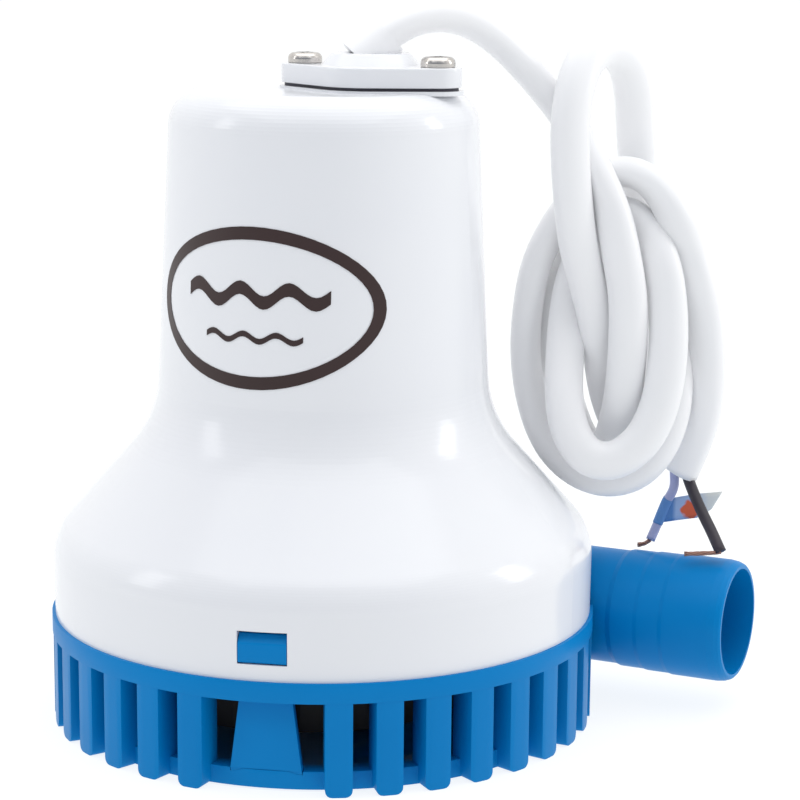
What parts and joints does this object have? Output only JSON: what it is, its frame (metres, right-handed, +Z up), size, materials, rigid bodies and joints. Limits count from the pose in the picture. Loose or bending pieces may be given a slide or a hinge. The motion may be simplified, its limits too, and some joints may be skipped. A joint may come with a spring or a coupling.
{
  "type": "bilge pump",
  "caption": "Submersible bilge pump: white bell-shaped motor housing latched into a slotted blue strainer base, with a side hose port and a bundled power cord.",
  "frame": {"origin": "centre of the strainer base's mounting-hole circle, on the underside of its floor", "axes": "+Z up along the pump's axis, +X the way the discharge port points"},
  "size_m": [0.1565, 0.1353, 0.1712],
  "materials": {
    "blue_plastic": "satin moulded polypropylene",
    "white_housing": "glossy moulded ABS",
    "label_ink": "pad-printed ink",
    "black_rubber": "moulded nitrile rubber",
    "stainless_screw": "pressed stainless steel",
    "white_cord": "satin soft PVC sheath",
    "black_insulation": "soft PVC insulation",
    "blue_insulation": "soft PVC insulation",
    "bare_copper": "tinned copper strands",
    "tag_paper": "printed paper flag",
    "black_plastic": "glass-filled black plastic",
    "steel": "plated and ground steel",
    "ferrite": "sintered ferrite",
    "copper_winding": "enamelled copper wire",
    "brush_board": "phenolic board",
    "guide_brass": "stamped brass",
    "carbon": "pressed carbon"
  },
  "bodies": {
    "base": {"strainer_base": "blue_plastic"},
    "latch_front": {"latch_tongue_front": "blue_plastic"},
    "latch_rear": {"latch_tongue_rear": "blue_plastic"},
    "pump": {"motor_housing": "white_housing", "oval_label": "label_ink", "gland_gasket": "black_rubber", "gland_grommet": "black_rubber", "gland_cap": "white_housing", "gland_screws": "stainless_screw", "strain_relief": "white_cord", "cord_lead": "white_cord", "cord_hank": "white_cord", "conductor_black": "black_insulation", "conductor_blue": "blue_insulation", "bare_wire_ends": "bare_copper", "wire_tag": "tag_paper", "bulkhead": "black_plastic", "bulkhead_o_ring": "black_rubber", "bulkhead_screws": "stainless_screw", "shaft_seal": "black_rubber", "seal_retainer": "stainless_screw", "volute_body": "black_plastic", "volute_cover": "black_plastic", "volute_screws": "stainless_screw", "port_gasket": "black_rubber", "discharge_port": "blue_plastic", "motor_end_bell": "steel", "motor_can": "steel", "motor_end_cap": "steel", "motor_tie_screws": "stainless_screw", "magnets": "ferrite", "lower_bearing": "steel", "upper_bearing": "steel", "brush_plate": "brush_board", "brush_guides": "guide_brass", "brush_spring_a": "steel", "brush_spring_b": "steel", "motor_leads": "blue_insulation"},
    "rotor": {"shaft": "steel", "armature_core": "steel", "armature_windings": "copper_winding", "commutator": "copper_winding", "impeller": "black_plastic", "impeller_nut": "stainless_screw"},
    "brush_a": {"brush_a": "carbon"},
    "brush_b": {"brush_b": "carbon"}
  },
  "joints": [
    {"name": "pump_lift", "type": "slide", "parent": "base", "child": "pump", "axis": [0, 0, 1], "range_m": [0, 0.06], "deforming": ["latch_tongue_front", "latch_tongue_rear"]},
    {"name": "latch_front_press", "type": "hinge", "parent": "base", "child": "latch_front", "pos_m": [0.01543, -0.05757, 0.0046], "axis": [-0.9659, -0.2588, 0], "range_deg": [0, 5.5], "stiffness_Nm_per_rad": 3},
    {"name": "latch_rear_press", "type": "hinge", "parent": "base", "child": "latch_rear", "pos_m": [-0.01543, 0.05757, 0.0046], "axis": [0.9659, 0.2588, 0], "range_deg": [0, 5.5], "stiffness_Nm_per_rad": 3},
    {"name": "rotor_spin", "type": "hinge", "parent": "pump", "child": "rotor", "pos_m": [0, 0, 0.05], "axis": [0, 0, 1], "continuous": true},
    {"name": "brush_a_travel", "type": "slide", "parent": "pump", "child": "brush_a", "axis": [1, 0, 0], "range_m": [0, 0.0015], "stiffness_N_per_m": 120, "springref_m": -0.004, "deforming": ["brush_spring_a"]},
    {"name": "brush_b_travel", "type": "slide", "parent": "pump", "child": "brush_b", "axis": [-1, 0, 0], "range_m": [0, 0.0015], "stiffness_N_per_m": 120, "springref_m": -0.004, "deforming": ["brush_spring_b"]}
  ]
}
